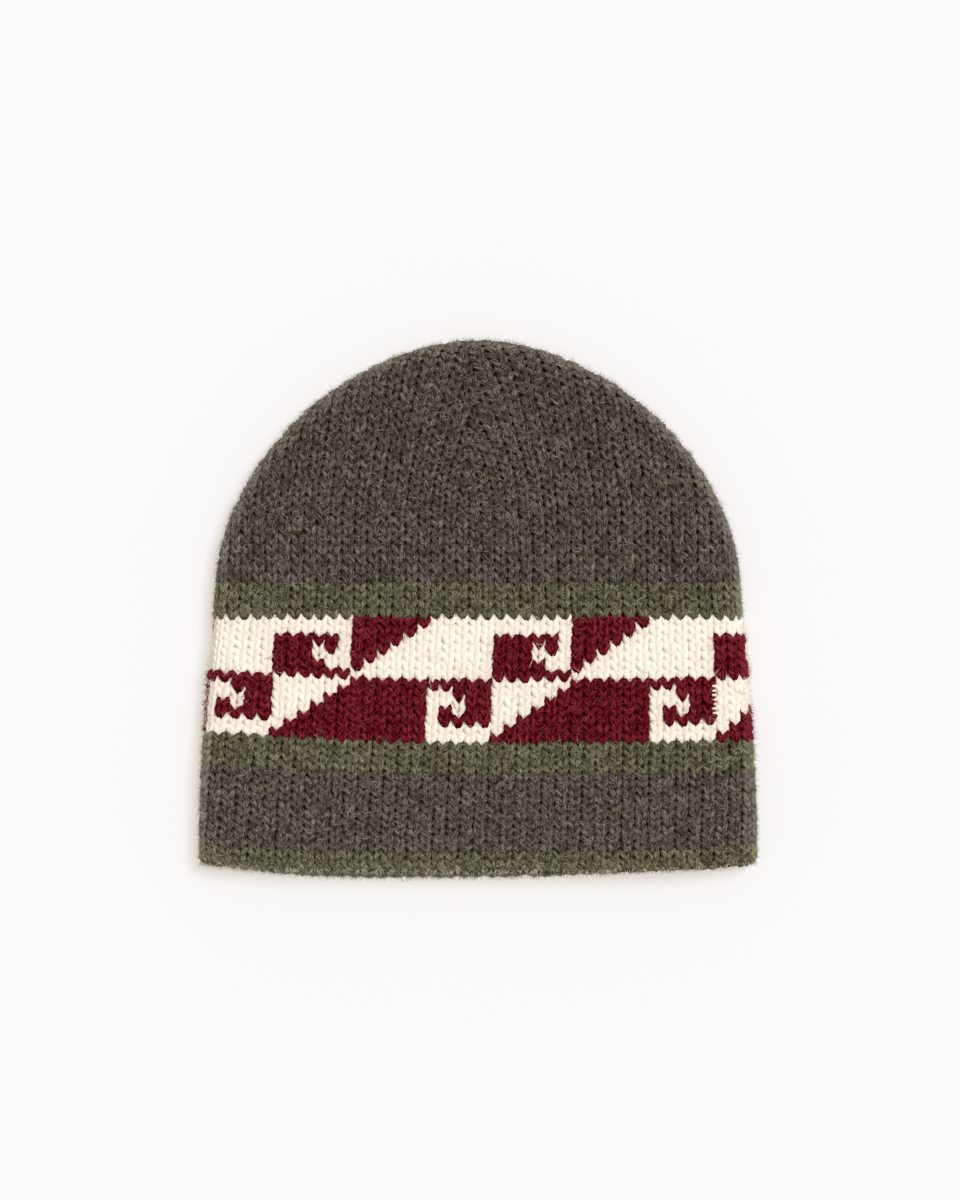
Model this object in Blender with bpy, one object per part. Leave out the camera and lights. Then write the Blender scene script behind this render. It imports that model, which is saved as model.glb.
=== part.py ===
"""A knitted skullcap lying flat: crown towards +Y, mouth towards -Y, back layer on the ground.

It is knitted in one piece, so it is one hollow solid: a top layer and a back layer that run
into each other in rounded folds at the sides and over the crown, and lie apart at the mouth.
"""
import math
from collections import namedtuple

import bmesh
import bpy

# Driving sizes, in metres
SHOULDER_WIDTH = 0.2164
HEM_FLARE = 0.0136
BODY_LENGTH = 0.1124
CROWN_HEIGHT = 0.1023
KNIT_THICKNESS = 0.0036
HOLLOW_HEIGHT = 0.0058
LOFT = 0.0020
FRONT_HEM_SAG = 0.0032
BACK_HEM_SAG = 0.0067

# Shape of the curves: 2 makes the crown's outline an ellipse, and less makes it more pointed
CROWN_FULLNESS = 1.83
HEM_SQUARENESS = 4.0
BACK_HEM_SKEW = -0.20
HEM_FADE = 3.0

# Fineness of the faces
CROWN_STATIONS = 18
LAYER_SEGMENTS = 20
FOLD_SEGMENTS = 6
STATION_STEP = 0.0140

# The yarn changes from the mouth upwards. Each stripe ends at a share of the cap's length.
Stripe = namedtuple("Stripe", "name yarn end")
STRIPES = (
    Stripe("hem", "olive_wool", 0.041),
    Stripe("brim", "charcoal_wool", 0.178),
    Stripe("lower_stripe", "olive_wool", 0.236),
    Stripe("fret_band", "cream_wool", 0.473),
    Stripe("upper_stripe", "olive_wool", 0.546),
    Stripe("crown", "charcoal_wool", 1.000),
)

# Hollows pressed into the top layer. Across is a share of half the shoulder's width, along a
# share of the cap's length from the mouth, and depth a share of the loft; a rise is negative.
Dent = namedtuple("Dent", "name across along half_width half_length depth")
DENTS = (
    Dent("middle_gather", -0.05, 0.79, 0.07, 0.11, 0.45),
    Dent("right_gather", 0.27, 0.84, 0.08, 0.07, 0.25),
    Dent("left_gather", -0.34, 0.83, 0.08, 0.07, 0.20),
    Dent("under_the_band", 0.10, 0.22, 0.70, 0.04, 0.25),
    Dent("mouth_lift", -0.10, 0.00, 0.60, 0.06, -0.30),
)

# Yarns: colour, roughness and metallic value
Yarn = namedtuple("Yarn", "name colour roughness metallic")
YARNS = (
    Yarn("charcoal_wool", (0.076, 0.061, 0.048), 0.95, 0.0),
    Yarn("olive_wool", (0.089, 0.078, 0.045), 0.95, 0.0),
    Yarn("cream_wool", (0.880, 0.830, 0.710), 0.95, 0.0),
    Yarn("burgundy_wool", (0.095, 0.008, 0.011), 0.95, 0.0),
)

# A station is one ring of the cap: where it meets the outline on the right, which way the
# outline faces there, where its middle lies, its share of the loft and of the hem's sag.
Station = namedtuple("Station", "edge outward middle rise sag")


def clear_scene():
    for thing in list(bpy.data.objects):
        bpy.data.objects.remove(thing, do_unlink=True)


def fold_radius():
    return KNIT_THICKNESS + HOLLOW_HEIGHT / 2


def cap_length():
    return BODY_LENGTH + FRONT_HEM_SAG + CROWN_HEIGHT


def body_shares():
    """Heights of the rings below the shoulder, from 0 at the mouth: every stripe's end is one."""
    shares = [0.0]
    for stripe in STRIPES:
        end = min(stripe.end * cap_length() / BODY_LENGTH, 1.0)
        steps = max(1, math.ceil((end - shares[-1]) * BODY_LENGTH / STATION_STEP))
        start = shares[-1]
        shares += [start + (end - start) * step / steps for step in range(1, steps + 1) if end > start]
    return shares


def body_station(share):
    """A ring of the straight part, which widens towards the mouth."""
    below = 1.0 - share
    half_width = SHOULDER_WIDTH / 2 + HEM_FLARE / 2 * math.sin(math.pi / 2 * below)
    height = -(BODY_LENGTH - KNIT_THICKNESS / 2) * below
    return Station((half_width, height), (1.0, 0.0), height, 1.0, below ** HEM_FADE)


def crown_station(turn):
    """A ring of the crown: level at the shoulder, and round the tip at the top."""
    half_width = SHOULDER_WIDTH / 2
    power = 2.0 / CROWN_FULLNESS
    run = max(math.cos(turn), 0.0) ** power
    climb = math.sin(turn) ** power
    slope = (run ** (CROWN_FULLNESS - 1) / half_width, climb ** (CROWN_FULLNESS - 1) / CROWN_HEIGHT)
    length = math.hypot(*slope)
    rounding = math.sin(turn) ** 2
    level = rounding * (1 - math.cos(turn)) + (1 - rounding) * math.sin(turn)
    middle = (CROWN_HEIGHT - fold_radius()) * level
    edge = (half_width * run, CROWN_HEIGHT * climb)
    return Station(edge, (slope[0] / length, slope[1] / length), middle, math.sqrt(run), 0.0)


def hem_sag(across, front_share):
    """How far the hem hangs below its corners, across the mouth from -1 to 1."""
    front = FRONT_HEM_SAG * (1 - abs(across) ** HEM_SQUARENESS)
    reach = 1 - BACK_HEM_SKEW if across > BACK_HEM_SKEW else 1 + BACK_HEM_SKEW
    back = BACK_HEM_SAG * (1 - abs((across - BACK_HEM_SKEW) / reach) ** HEM_SQUARENESS)
    return front * front_share + back * (1 - front_share)


def relief(x, y):
    """Depth of the dents in the top layer at one place."""
    mouth = -(BODY_LENGTH + FRONT_HEM_SAG)
    depth = 0.0
    for dent in DENTS:
        across = (2 * x / SHOULDER_WIDTH - dent.across) / dent.half_width
        along = ((y - mouth) / cap_length() - dent.along) / dent.half_length
        depth += dent.depth * LOFT * math.exp(-across ** 2 - along ** 2)
    return depth


def ring(station, inset, lip=0.0):
    """Points of one ring, right to left over the top layer and back under it.

    An inset of zero is the outside and of one thickness the inside. A lip moves the ring
    outwards at the mouth.
    """
    radius = fold_radius()
    seat = (station.edge[0] - radius * station.outward[0], station.edge[1] - radius * station.outward[1])
    points = []

    def place(x, y, z, front_share):
        across = max(-1.0, min(1.0, x / max(station.edge[0], 1e-9)))
        points.append((x, y - lip - station.sag * hem_sag(across, front_share), z))

    def layer(turns, front_share):
        for turn in turns:
            x = seat[0] * math.sin(turn)
            y = seat[1] - (seat[1] - station.middle) * math.cos(turn)
            swell = station.rise * math.cos(turn)
            top = 2 * radius + LOFT * swell - relief(x, y) * swell - inset
            place(x, y, top if front_share else inset, front_share)

    def fold(side, turns):
        for turn in turns:
            reach = (radius - inset) * math.cos(turn)
            x = side * (seat[0] + station.outward[0] * reach)
            y = seat[1] + station.outward[1] * reach
            place(x, y, radius + (radius - inset) * math.sin(turn), (1 + math.sin(turn)) / 2)

    across = [math.pi / 2 * (1 - 2 * step / LAYER_SEGMENTS) for step in range(LAYER_SEGMENTS + 1)]
    around = [math.pi / 2 * (1 - 2 * step / FOLD_SEGMENTS) for step in range(1, FOLD_SEGMENTS)]
    layer(across, 1.0)
    fold(-1.0, around)
    layer(reversed(across), 0.0)
    fold(1.0, reversed(around))
    return points


def stripe_index(share):
    for index, stripe in enumerate(STRIPES):
        if share <= stripe.end:
            return index
    return len(STRIPES) - 1


def material(yarn):
    wool = bpy.data.materials.new(yarn.name)
    wool.use_nodes = True
    shader = wool.node_tree.nodes["Principled BSDF"]
    shader.inputs["Base Color"].default_value = (*yarn.colour, 1.0)
    shader.inputs["Roughness"].default_value = yarn.roughness
    shader.inputs["Metallic"].default_value = yarn.metallic
    return wool


def build_cap():
    """The one knitted piece: outside, rounded edge of the mouth, and inside."""
    stations = [body_station(share) for share in body_shares()]
    quarter = math.pi / 2
    stations += [crown_station(quarter * step / CROWN_STATIONS) for step in range(1, CROWN_STATIONS + 1)]
    rings = [ring(station, 0.0) for station in reversed(stations)]
    rings.append(ring(stations[0], KNIT_THICKNESS / 2, KNIT_THICKNESS / 2))
    rings += [ring(station, KNIT_THICKNESS) for station in stations]

    shell = bmesh.new()
    rows = [[shell.verts.new(point) for point in points] for points in rings]
    for upper, lower in zip(rows, rows[1:]):
        for here in range(len(upper)):
            there = (here + 1) % len(upper)
            shell.faces.new((upper[here], upper[there], lower[there], lower[here]))
    bmesh.ops.remove_doubles(shell, verts=shell.verts, dist=1e-6)
    bmesh.ops.recalc_face_normals(shell, faces=shell.faces)

    yarn_names = [yarn.name for yarn in YARNS]
    mouth = -(BODY_LENGTH + FRONT_HEM_SAG)
    for face in shell.faces:
        share = (face.calc_center_median().y - mouth) / cap_length()
        face.material_index = yarn_names.index(STRIPES[stripe_index(share)].yarn)
        face.smooth = True

    heights = [vert.co.y for vert in shell.verts]
    bmesh.ops.translate(shell, verts=shell.verts, vec=(0.0, -(min(heights) + max(heights)) / 2, 0.0))
    mesh = bpy.data.meshes.new("knit_cap")
    shell.to_mesh(mesh)
    shell.free()
    for yarn in YARNS:
        mesh.materials.append(material(yarn))
    cap = bpy.data.objects.new("knit_cap", mesh)
    bpy.context.scene.collection.objects.link(cap)
    return cap


clear_scene()
build_cap()
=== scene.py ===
"""A knitted skullcap lying flat on a pale floor, seen from straight above.

The cap is stocking stitch worked in the round, so every stitch is one loop of yarn set on the
folded wall of the CAD model: legs in front, head and feet behind. Metres, in the CAD's frame.
"""
import math

import bmesh
import bpy
import numpy as np
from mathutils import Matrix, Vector
from mathutils.bvhtree import BVHTree


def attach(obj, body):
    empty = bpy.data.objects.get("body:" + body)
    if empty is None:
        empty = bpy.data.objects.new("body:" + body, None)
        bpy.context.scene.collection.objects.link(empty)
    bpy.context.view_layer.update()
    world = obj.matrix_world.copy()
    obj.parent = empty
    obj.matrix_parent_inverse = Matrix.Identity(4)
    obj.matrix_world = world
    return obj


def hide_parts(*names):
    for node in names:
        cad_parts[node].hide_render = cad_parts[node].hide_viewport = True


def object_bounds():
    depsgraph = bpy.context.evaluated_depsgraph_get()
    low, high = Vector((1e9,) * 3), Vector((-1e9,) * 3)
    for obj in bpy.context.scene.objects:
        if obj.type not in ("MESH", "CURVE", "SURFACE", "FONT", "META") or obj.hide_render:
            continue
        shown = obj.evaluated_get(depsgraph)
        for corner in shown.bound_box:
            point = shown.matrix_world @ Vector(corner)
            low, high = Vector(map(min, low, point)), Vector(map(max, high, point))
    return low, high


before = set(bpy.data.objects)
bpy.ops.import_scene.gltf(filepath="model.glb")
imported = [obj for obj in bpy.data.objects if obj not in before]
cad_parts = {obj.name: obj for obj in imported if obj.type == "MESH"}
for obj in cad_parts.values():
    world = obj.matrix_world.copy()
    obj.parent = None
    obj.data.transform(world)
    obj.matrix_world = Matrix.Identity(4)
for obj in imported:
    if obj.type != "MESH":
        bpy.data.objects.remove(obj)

cad_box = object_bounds()
SEED = 11
rng = np.random.default_rng(SEED)

# Sizes and curves of the CAD model
SHOULDER_WIDTH = 0.2164
HEM_FLARE = 0.0136
BODY_LENGTH = 0.1124
CROWN_HEIGHT = 0.1023
KNIT_THICKNESS = 0.0036
HOLLOW_HEIGHT = 0.0058
FRONT_HEM_SAG = 0.0032
BACK_HEM_SAG = 0.0067
CROWN_FULLNESS = 1.83
HEM_SQUARENESS = 4.0
HEM_FADE = 3.0
FOLD_RADIUS = KNIT_THICKNESS + HOLLOW_HEIGHT / 2
SHOULDER_Y = cad_box[1].y - CROWN_HEIGHT
STRAIGHT = BODY_LENGTH - KNIT_THICKNESS / 2

# The back hem's own curve: where it is lowest as a share of the half width, its power and its drop
BACK_HEM_SKEW = -0.30
BACK_HEM_POWER = 2.4
BACK_HEM_DROP = 0.0063

# The knitting: stitches round the cap, and rows from the mouth up with the height where each
# stripe ends, measured up the middle of the front from its hem
STITCHES_ROUND = 85
FRONT_COLUMNS = 43.07
FIRST_FRONT_COLUMN = -5.82
STRIPE_ROWS = (("hem", 2, 0.0079), ("brim", 10, 0.0396), ("lower_stripe", 4, 0.0523),
               ("fret_band", 14, 0.1038), ("upper_stripe", 4, 0.1178))
EDGE_HEIGHT = 0.0012
BODY_ROWS = sum(count for _, count, _ in STRIPE_ROWS)
CROWN_ROWS = 34
CROWN_ROW = 0.00394
CROWN_ROW_LOSS = 0.000012
MIDDLE_WALL = 0.0022

# Below one height the wales lean, and those near the front's left fold are drawn to the right
LEAN_FROM = 0.1025
WALE_LEAN = 0.045
WALE_DRAW = 0.0025
DRAW_HEIGHT = 0.045
DRAW_STARTS, DRAW_RISE = -1.05, 0.28
DRAW_ENDS, DRAW_FALL = -0.77, 0.80

# How far the front's rows climb at its left and right folds, and how squarely, each by row
LEFT_LIFT = ((0, 2, 16, 23, 30), (0.0032, 0.0026, 0.0048, 0.0041, 0.0))
RIGHT_LIFT = ((0, 16, 23, 30), (0.0032, 0.0012, 0.0010, 0.0))
LIFT_POWER = ((0, 10), (HEM_SQUARENESS, 1.8))

# Decreases: the wales of the crown close up on a line just left of the middle, where rows dip
CLOSING_X = -0.0053
DIP_DEPTH = 0.0099
DIP_REACH = 0.037
DIP_FROM, DIP_GROWTH = 0.010, 0.058
EVEN_LEAN = math.radians(6.0)
EVEN_LEAN_FROM = 0.022
LEFT_LEAN, RIGHT_LEAN = math.radians(16.0), math.radians(24.0)
CLOSE_LEAN_FROM = 0.038
CLOSE_LEAN_REACH = 0.025
LEAN_GROWTH = 0.016
NARROWEST_STITCH = 0.22
PAST_THE_FOLD = 0.0010
LEAST_GAP = 0.0030

# One repeat of the fret, read down from the top row: C cream, B burgundy, O cream that stands open
FRET = (
    "CCCCCCBBBBBBCCCCC",
    "CCCCCCBBBBBCCCCCC",
    "BBBBBCBBBBCCCCCCC",
    "BBBOBCBBBCCCCCCCC",
    "BBBOCCBBCCCCCCCCC",
    "BBBBCCBCCCCCCCCCC",
    "BBBBBBCCCCCCCCCCC",
    "CCCCCCBBBBBBBBBBB",
    "CCCCCBBBBBBBCCBBB",
    "CCCCBBBBBBBBCCOBB",
    "CCCBBBBBBBBBCBOBB",
    "CCBBBBBBBBBBCBBBB",
    "CBBBBBBBBBBBCCCCC",
    "BBBBBBBBBBBBCCCCC",
)
BAND_FIRST_ROW = sum(count for _, count, _ in STRIPE_ROWS[:3])
BAND_LAST_ROW = BAND_FIRST_ROW + len(FRET) - 1

# One stitch of the band's top row is cream where the chart has burgundy
EXTRA_CREAM_COLUMN = STITCHES_ROUND - 6

# Size and form of a stitch before it is fitted to its place
STITCH_WIDTH = 0.00533
ROW_HEIGHT = 0.00368
YARN_RADIUS = 0.00120
LOOP_DEPTH = 0.00108
LOOP_SLANT = 0.278
LOOP_PINCH = 0.030
LOOP_HEIGHT = 0.93
YARN_SQUASH = 0.84
LEG_FATNESS = 1.10
END_THINNING = 0.43
HEAD_THINNING = 0.12
OPEN_SPREAD = 0.24
OPEN_THINNING = 0.32
LUMP_SCALE = 700.0

# How the yarn's own attribute winds and runs along one loop, and along one turn of the edge
LOOP_TWIST, LOOP_RUN = 9.0, 12.0
EDGE_TWIST, EDGE_RUN = 4.0, 5.0

# The length of fibre that its radius is given for
NOMINAL_FIBRE = 0.003


# Node trees

class Link:
    """A node's output, with the arithmetic that the trees below are written in."""

    def __init__(self, tree, socket):
        self.tree = tree
        self.socket = socket

    def __add__(self, other):
        return self.tree.maths("ADD", self, other)

    def __radd__(self, other):
        return self.tree.maths("ADD", other, self)

    def __sub__(self, other):
        return self.tree.maths("SUBTRACT", self, other)

    def __rsub__(self, other):
        return self.tree.maths("SUBTRACT", other, self)

    def __mul__(self, other):
        return self.tree.maths("MULTIPLY", self, other)

    def __rmul__(self, other):
        return self.tree.maths("MULTIPLY", other, self)

    def __truediv__(self, other):
        return self.tree.maths("DIVIDE", self, other)


class Tree:
    """Builds one node tree. node() adds any node, and maths() the Math and Vector Math nodes."""

    def __init__(self, tree):
        self.tree = tree

    def node(self, kind, settings=None, sockets=None, output=0):
        made = self.tree.nodes.new(kind)
        for name, value in (settings or {}).items():
            if name == "stops":
                ramp = made.color_ramp
                while len(ramp.elements) < len(value):
                    ramp.elements.new(0.5)
                for element, (place, colour) in zip(ramp.elements, value):
                    element.position = place
                    element.color = colour
            else:
                setattr(made, name, value)
        for key, value in (sockets or {}).items():
            self.feed(made.inputs[key], value)
        return Link(self, made.outputs[output])

    def feed(self, socket, value):
        if isinstance(value, Link):
            self.tree.links.new(value.socket, socket)
        elif hasattr(socket.default_value, "__len__") and not hasattr(value, "__len__"):
            socket.default_value = [value] * len(socket.default_value)
        else:
            socket.default_value = value

    def maths(self, operation, *values):
        vectors = any(hasattr(v, "__len__") or (isinstance(v, Link) and v.socket.type in ("VECTOR", "RGBA"))
                      for v in values)
        kind = "ShaderNodeVectorMath" if vectors else "ShaderNodeMath"
        return self.node(kind, {"operation": operation}, dict(enumerate(values)))

    def mix(self, blend, factor, a, b):
        return self.node("ShaderNodeMix", {"data_type": "RGBA", "blend_type": blend},
                         {0: factor, 6: a, 7: b}, output=2)

    def join(self, x, y, z):
        return self.node("ShaderNodeCombineXYZ", None, {0: x, 1: y, 2: z})

    def part(self, vector, axis):
        return self.node("ShaderNodeSeparateXYZ", None, {0: vector}, output=axis)

    def carried(self, name, output="Fac"):
        """An attribute that the piece carries, in a material."""
        return self.node("ShaderNodeAttribute", {"attribute_name": name}, output=output)

    def between(self, value, start, end, reach):
        """Rises from 0 at the start to the reach at the end."""
        return self.node("ShaderNodeMapRange", None, {"Value": value, "From Min": start, "From Max": end,
                                                      "To Min": 0.0, "To Max": reach})

    def colours(self, factor, stops):
        """Runs through the colours of the stops, each a place and a colour."""
        stops = [(place, (*colour, 1)) for place, colour in stops]
        return self.node("ShaderNodeValToRGB", {"stops": stops}, {"Fac": factor})


class GeometryTree(Tree):
    """A Geometry Nodes tree with named inputs."""

    def __init__(self, name):
        super().__init__(bpy.data.node_groups.new(name, "GeometryNodeTree"))
        self.names = {}
        self.tree.interface.new_socket("Geometry", in_out="INPUT", socket_type="NodeSocketGeometry")
        self.tree.interface.new_socket("Geometry", in_out="OUTPUT", socket_type="NodeSocketGeometry")
        self.group = self.tree.nodes.new("NodeGroupInput")

    def input(self, name, value=None):
        kind = {float: "NodeSocketFloat", int: "NodeSocketInt", type(None): "NodeSocketMaterial"}[type(value)]
        made = self.tree.interface.new_socket(name, in_out="INPUT", socket_type=kind)
        if value is not None:
            made.default_value = value
        self.names[name] = made.identifier
        return Link(self, self.group.outputs[name])

    def geometry(self):
        return Link(self, self.group.outputs["Geometry"])

    def attribute(self, name, kind="FLOAT_VECTOR"):
        return self.node("GeometryNodeInputNamedAttribute", {"data_type": kind}, {"Name": name})

    def store(self, geometry, name, value, kind="FLOAT_VECTOR"):
        return self.node("GeometryNodeStoreNamedAttribute", {"data_type": kind, "domain": "POINT"},
                         {"Geometry": geometry, "Name": name, "Value": value})

    def finish(self, geometry, material):
        """Realize Instances and Set Material end every tree."""
        real = self.node("GeometryNodeRealizeInstances", None, {"Geometry": geometry})
        smooth = self.node("GeometryNodeSetShadeSmooth", None, {"Geometry": real})
        done = self.node("GeometryNodeSetMaterial", None, {"Geometry": smooth, "Material": material})
        out = self.tree.nodes.new("NodeGroupOutput")
        self.tree.links.new(done.socket, out.inputs[0])
        return self


def stitch_tree():
    """One loop of yarn on each point, bent to the place that the point's vectors span."""
    t = GeometryTree("knit_stitches")
    width = t.input("Stitch width", STITCH_WIDTH)
    height = t.input("Row height", ROW_HEIGHT)
    radius = t.input("Yarn radius", YARN_RADIUS)
    depth = t.input("Loop depth", LOOP_DEPTH)
    slant = t.input("Slant", LOOP_SLANT)
    pinch = t.input("Pinch", LOOP_PINCH)
    reach = t.input("Loop height", LOOP_HEIGHT)
    squash = t.input("Squash", YARN_SQUASH)
    lumps = t.input("Lumps", 0.00016)
    dive = t.input("Dive", 0.00040)
    tilt = t.input("Tilt", 0.00045)
    sink = t.input("Sink", 0.0)
    segments = t.input("Segments", 10)
    sides = t.input("Sides", 6)
    material = t.input("Yarn")

    line = t.node("GeometryNodeCurvePrimitiveLine")
    line = t.node("GeometryNodeResampleCurve", None, {"Curve": line, "Count": segments + 1})
    step = t.node("GeometryNodeInputIndex") / segments
    turn = step * (2 * math.pi) - math.pi
    double = turn * 2.0
    across = (step - 0.5) + slant * t.maths("SINE", double) - pinch * t.maths("SINE", turn)
    along = t.maths("COSINE", turn)
    end = (step - 0.5) * (step - 0.5) * 4.0
    forward = 0 - depth * t.maths("COSINE", double) - dive * along * along * along * along - tilt * along
    forward = forward - sink * end * end * end * end
    centre = t.join(across * width, reach * along * height, forward)
    line = t.node("GeometryNodeSetPosition", None, {"Geometry": line, "Position": centre})
    line = t.store(line, "core", t.node("GeometryNodeInputPosition"))
    line = t.store(line, "run", step, "FLOAT")
    fat = LEG_FATNESS - END_THINNING * along * along - HEAD_THINNING * along
    line = t.node("GeometryNodeSetCurveRadius", None, {"Curve": line, "Radius": fat})
    profile = t.node("GeometryNodeCurvePrimitiveCircle", None, {"Resolution": sides, "Radius": radius})
    angle = t.node("GeometryNodeInputIndex") * (2 * math.pi) / sides
    profile = t.store(profile, "angle", angle, "FLOAT")
    loop = t.node("GeometryNodeCurveToMesh", None,
                  {"Curve": line, "Profile Curve": profile, "Scale": fat, "Fill Caps": True})
    run = t.attribute("run", "FLOAT")
    around = t.attribute("angle", "FLOAT") + run * LOOP_TWIST
    loop = t.store(loop, "yarn", t.join(t.maths("COSINE", around), t.maths("SINE", around), run * LOOP_RUN))
    core = t.attribute("core")
    flat = core + (t.node("GeometryNodeInputPosition") - core) * t.join(1.0, 1.0, squash)
    loop = t.node("GeometryNodeSetPosition", None, {"Geometry": loop, "Position": flat})

    knit = t.node("GeometryNodeInstanceOnPoints", None, {"Points": t.geometry(), "Instance": loop})
    knit = t.node("GeometryNodeRealizeInstances", None, {"Geometry": knit})
    place = t.attribute("place")
    local = t.node("GeometryNodeInputPosition") - place
    gap = t.attribute("open", "FLOAT")
    spread = t.join(1.0 + gap * OPEN_SPREAD, 1.0, 1.0)
    slim = t.join(1.0 - gap * OPEN_THINNING, 1.0, 1.0)
    local = core * spread + (local - core) * slim
    u = t.part(local, 0) / width
    v = t.part(local, 1) / height
    w = t.part(local, 2)
    facing = t.attribute("out") + t.attribute("fan") * u + t.attribute("tip") * v
    bent = place + t.attribute("across") * u + t.attribute("along") * v
    bent = bent + t.attribute("bend") * (u * u * 2.0) + t.attribute("curl") * (v * v * 2.0) + facing * w
    knit = t.node("GeometryNodeSetPosition", None, {"Geometry": knit, "Position": bent})
    noise = t.node("ShaderNodeTexNoise", {"noise_dimensions": "3D"},
                   {"Vector": t.node("GeometryNodeInputPosition"), "Scale": LUMP_SCALE, "Detail": 2.0}) - 0.5
    push = t.node("GeometryNodeInputNormal") * (noise * lumps * 2.0)
    knit = t.node("GeometryNodeSetPosition", None, {"Geometry": knit, "Offset": push})
    return t.finish(knit, material)


def fibre_tree():
    """A thin bent hair on each point, as long as the point says and along the way it gives."""
    t = GeometryTree("wool_fibres")
    radius = t.input("Fibre radius", 0.00008)
    bend = t.input("Bend", 0.45)
    taper = t.input("Taper", 0.6)
    segments = t.input("Segments", 2)
    sides = t.input("Sides", 3)
    material = t.input("Yarn")
    line = t.node("GeometryNodeCurvePrimitiveLine")
    line = t.node("GeometryNodeResampleCurve", None, {"Curve": line, "Count": segments + 1})
    step = t.node("GeometryNodeInputIndex") / segments
    line = t.node("GeometryNodeSetPosition", None,
                  {"Geometry": line, "Position": t.join(bend * step * step, 0.0, step)})
    circle = t.node("GeometryNodeCurvePrimitiveCircle", None, {"Resolution": sides, "Radius": 1.0})
    hair = t.node("GeometryNodeCurveToMesh", None,
                  {"Curve": line, "Profile Curve": circle, "Fill Caps": True,
                   "Scale": radius * (1.0 - taper * step) / NOMINAL_FIBRE})
    turn = t.node("FunctionNodeAlignRotationToVector", {"axis": "Z"}, {"Vector": t.attribute("way")})
    spin = t.node("FunctionNodeRotateRotation", {"rotation_space": "LOCAL"},
                  {"Rotation": turn, "Rotate By": t.join(0.0, 0.0, t.attribute("spin", "FLOAT"))})
    hairs = t.node("GeometryNodeInstanceOnPoints", None,
                   {"Points": t.geometry(), "Instance": hair, "Rotation": spin,
                    "Scale": t.attribute("length", "FLOAT")})
    return t.finish(hairs, material)


def edge_tree():
    """Two plies wound round the mouth's edge, one turn to a stitch."""
    t = GeometryTree("cast_on_edge")
    radius = t.input("Yarn radius", 0.00085)
    throw = t.input("Throw", 0.00080)
    sides = t.input("Sides", 6)
    material = t.input("Yarn")
    path = t.node("GeometryNodeMeshToCurve", None, {"Mesh": t.geometry()})
    both = t.node("GeometryNodeJoinGeometry")
    for ply in range(2):
        turn = t.attribute("turns", "FLOAT") * (2 * math.pi) + ply * math.pi
        offset = t.attribute("out") * (throw * t.maths("COSINE", turn))
        offset = offset + t.attribute("down") * (throw * t.maths("SINE", turn))
        one = t.node("GeometryNodeSetPosition", None, {"Geometry": path, "Offset": offset})
        circle = t.node("GeometryNodeCurvePrimitiveCircle", None, {"Resolution": sides, "Radius": radius})
        angle = t.node("GeometryNodeInputIndex") * (2 * math.pi) / sides
        circle = t.store(circle, "angle", angle, "FLOAT")
        tube = t.node("GeometryNodeCurveToMesh", None, {"Curve": one, "Profile Curve": circle})
        turns = t.attribute("turns", "FLOAT")
        around = t.attribute("angle", "FLOAT") + turns * EDGE_TWIST
        wound = t.join(t.maths("COSINE", around), t.maths("SINE", around), turns * EDGE_RUN)
        t.feed(both.socket.node.inputs[0], t.store(tube, "yarn", wound))
    return t.finish(both, material)


def grow(name, points, attributes, tree, settings, keep=(), edges=()):
    """Runs a tree over points that carry attributes, and returns the result as a plain mesh object."""
    mesh = bpy.data.meshes.new(name)
    mesh.vertices.add(len(points))
    mesh.vertices.foreach_set("co", np.asarray(points, np.float32).ravel())
    mesh.edges.add(len(edges))
    mesh.edges.foreach_set("vertices", np.asarray(edges, np.int32).ravel())
    for key, values in attributes.items():
        kind = "FLOAT_VECTOR" if np.ndim(values) == 2 else "FLOAT"
        slot = "vector" if kind == "FLOAT_VECTOR" else "value"
        mesh.attributes.new(key, kind, "POINT").data.foreach_set(slot, np.asarray(values, np.float32).ravel())
    seed = bpy.data.objects.new(name + "_points", mesh)
    bpy.context.scene.collection.objects.link(seed)
    return run_tree(name, seed, tree, settings, keep)


def run_tree(name, seed, tree, settings, keep):
    """Puts the tree on the seed, and keeps its result with the attributes that the materials read."""
    modifier = seed.modifiers.new("tree", "NODES")
    modifier.node_group = tree.tree
    for key, value in settings.items():
        modifier[tree.names[key]] = value
    bpy.context.view_layer.update()
    graph = bpy.context.evaluated_depsgraph_get()
    made = bpy.data.meshes.new_from_object(seed.evaluated_get(graph), depsgraph=graph)
    made.name = name
    keep = (*keep, "sharp_face", "material_index")
    for attribute in [a.name for a in made.attributes]:
        mine = made.attributes[attribute]
        if not (mine.is_internal or mine.is_required or attribute in keep or attribute.startswith(".")):
            made.attributes.remove(mine)
    old = seed.data
    bpy.data.objects.remove(seed)
    bpy.data.meshes.remove(old)
    rest_on_floor(made)
    piece = bpy.data.objects.new(name, made)
    bpy.context.scene.collection.objects.link(piece)
    return piece


def rest_on_floor(mesh):
    """What would dip into the floor is pressed flat on it."""
    places = np.empty(len(mesh.vertices) * 3, np.float32)
    mesh.vertices.foreach_get("co", places)
    places[2::3] = np.maximum(places[2::3], 0.0)
    mesh.vertices.foreach_set("co", places)
    mesh.update()


# The cap's surface

def outline_of_crown(count):
    """Places on the right half of the crown's outline, and the way it faces there."""
    turn = np.linspace(0.0, math.pi / 2, count)
    power = 2.0 / CROWN_FULLNESS
    run = np.maximum(np.cos(turn), 0.0) ** power
    climb = np.sin(turn) ** power
    edge = np.stack([SHOULDER_WIDTH / 2 * run, CROWN_HEIGHT * climb], -1)
    slope = np.stack([run ** (CROWN_FULLNESS - 1) / (SHOULDER_WIDTH / 2),
                      climb ** (CROWN_FULLNESS - 1) / CROWN_HEIGHT], -1)
    return edge, slope / np.linalg.norm(slope, axis=1)[:, None]


OUTLINE_PLACES = 1441
CROWN_EDGE, CROWN_OUTWARD = outline_of_crown(OUTLINE_PLACES)


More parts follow.
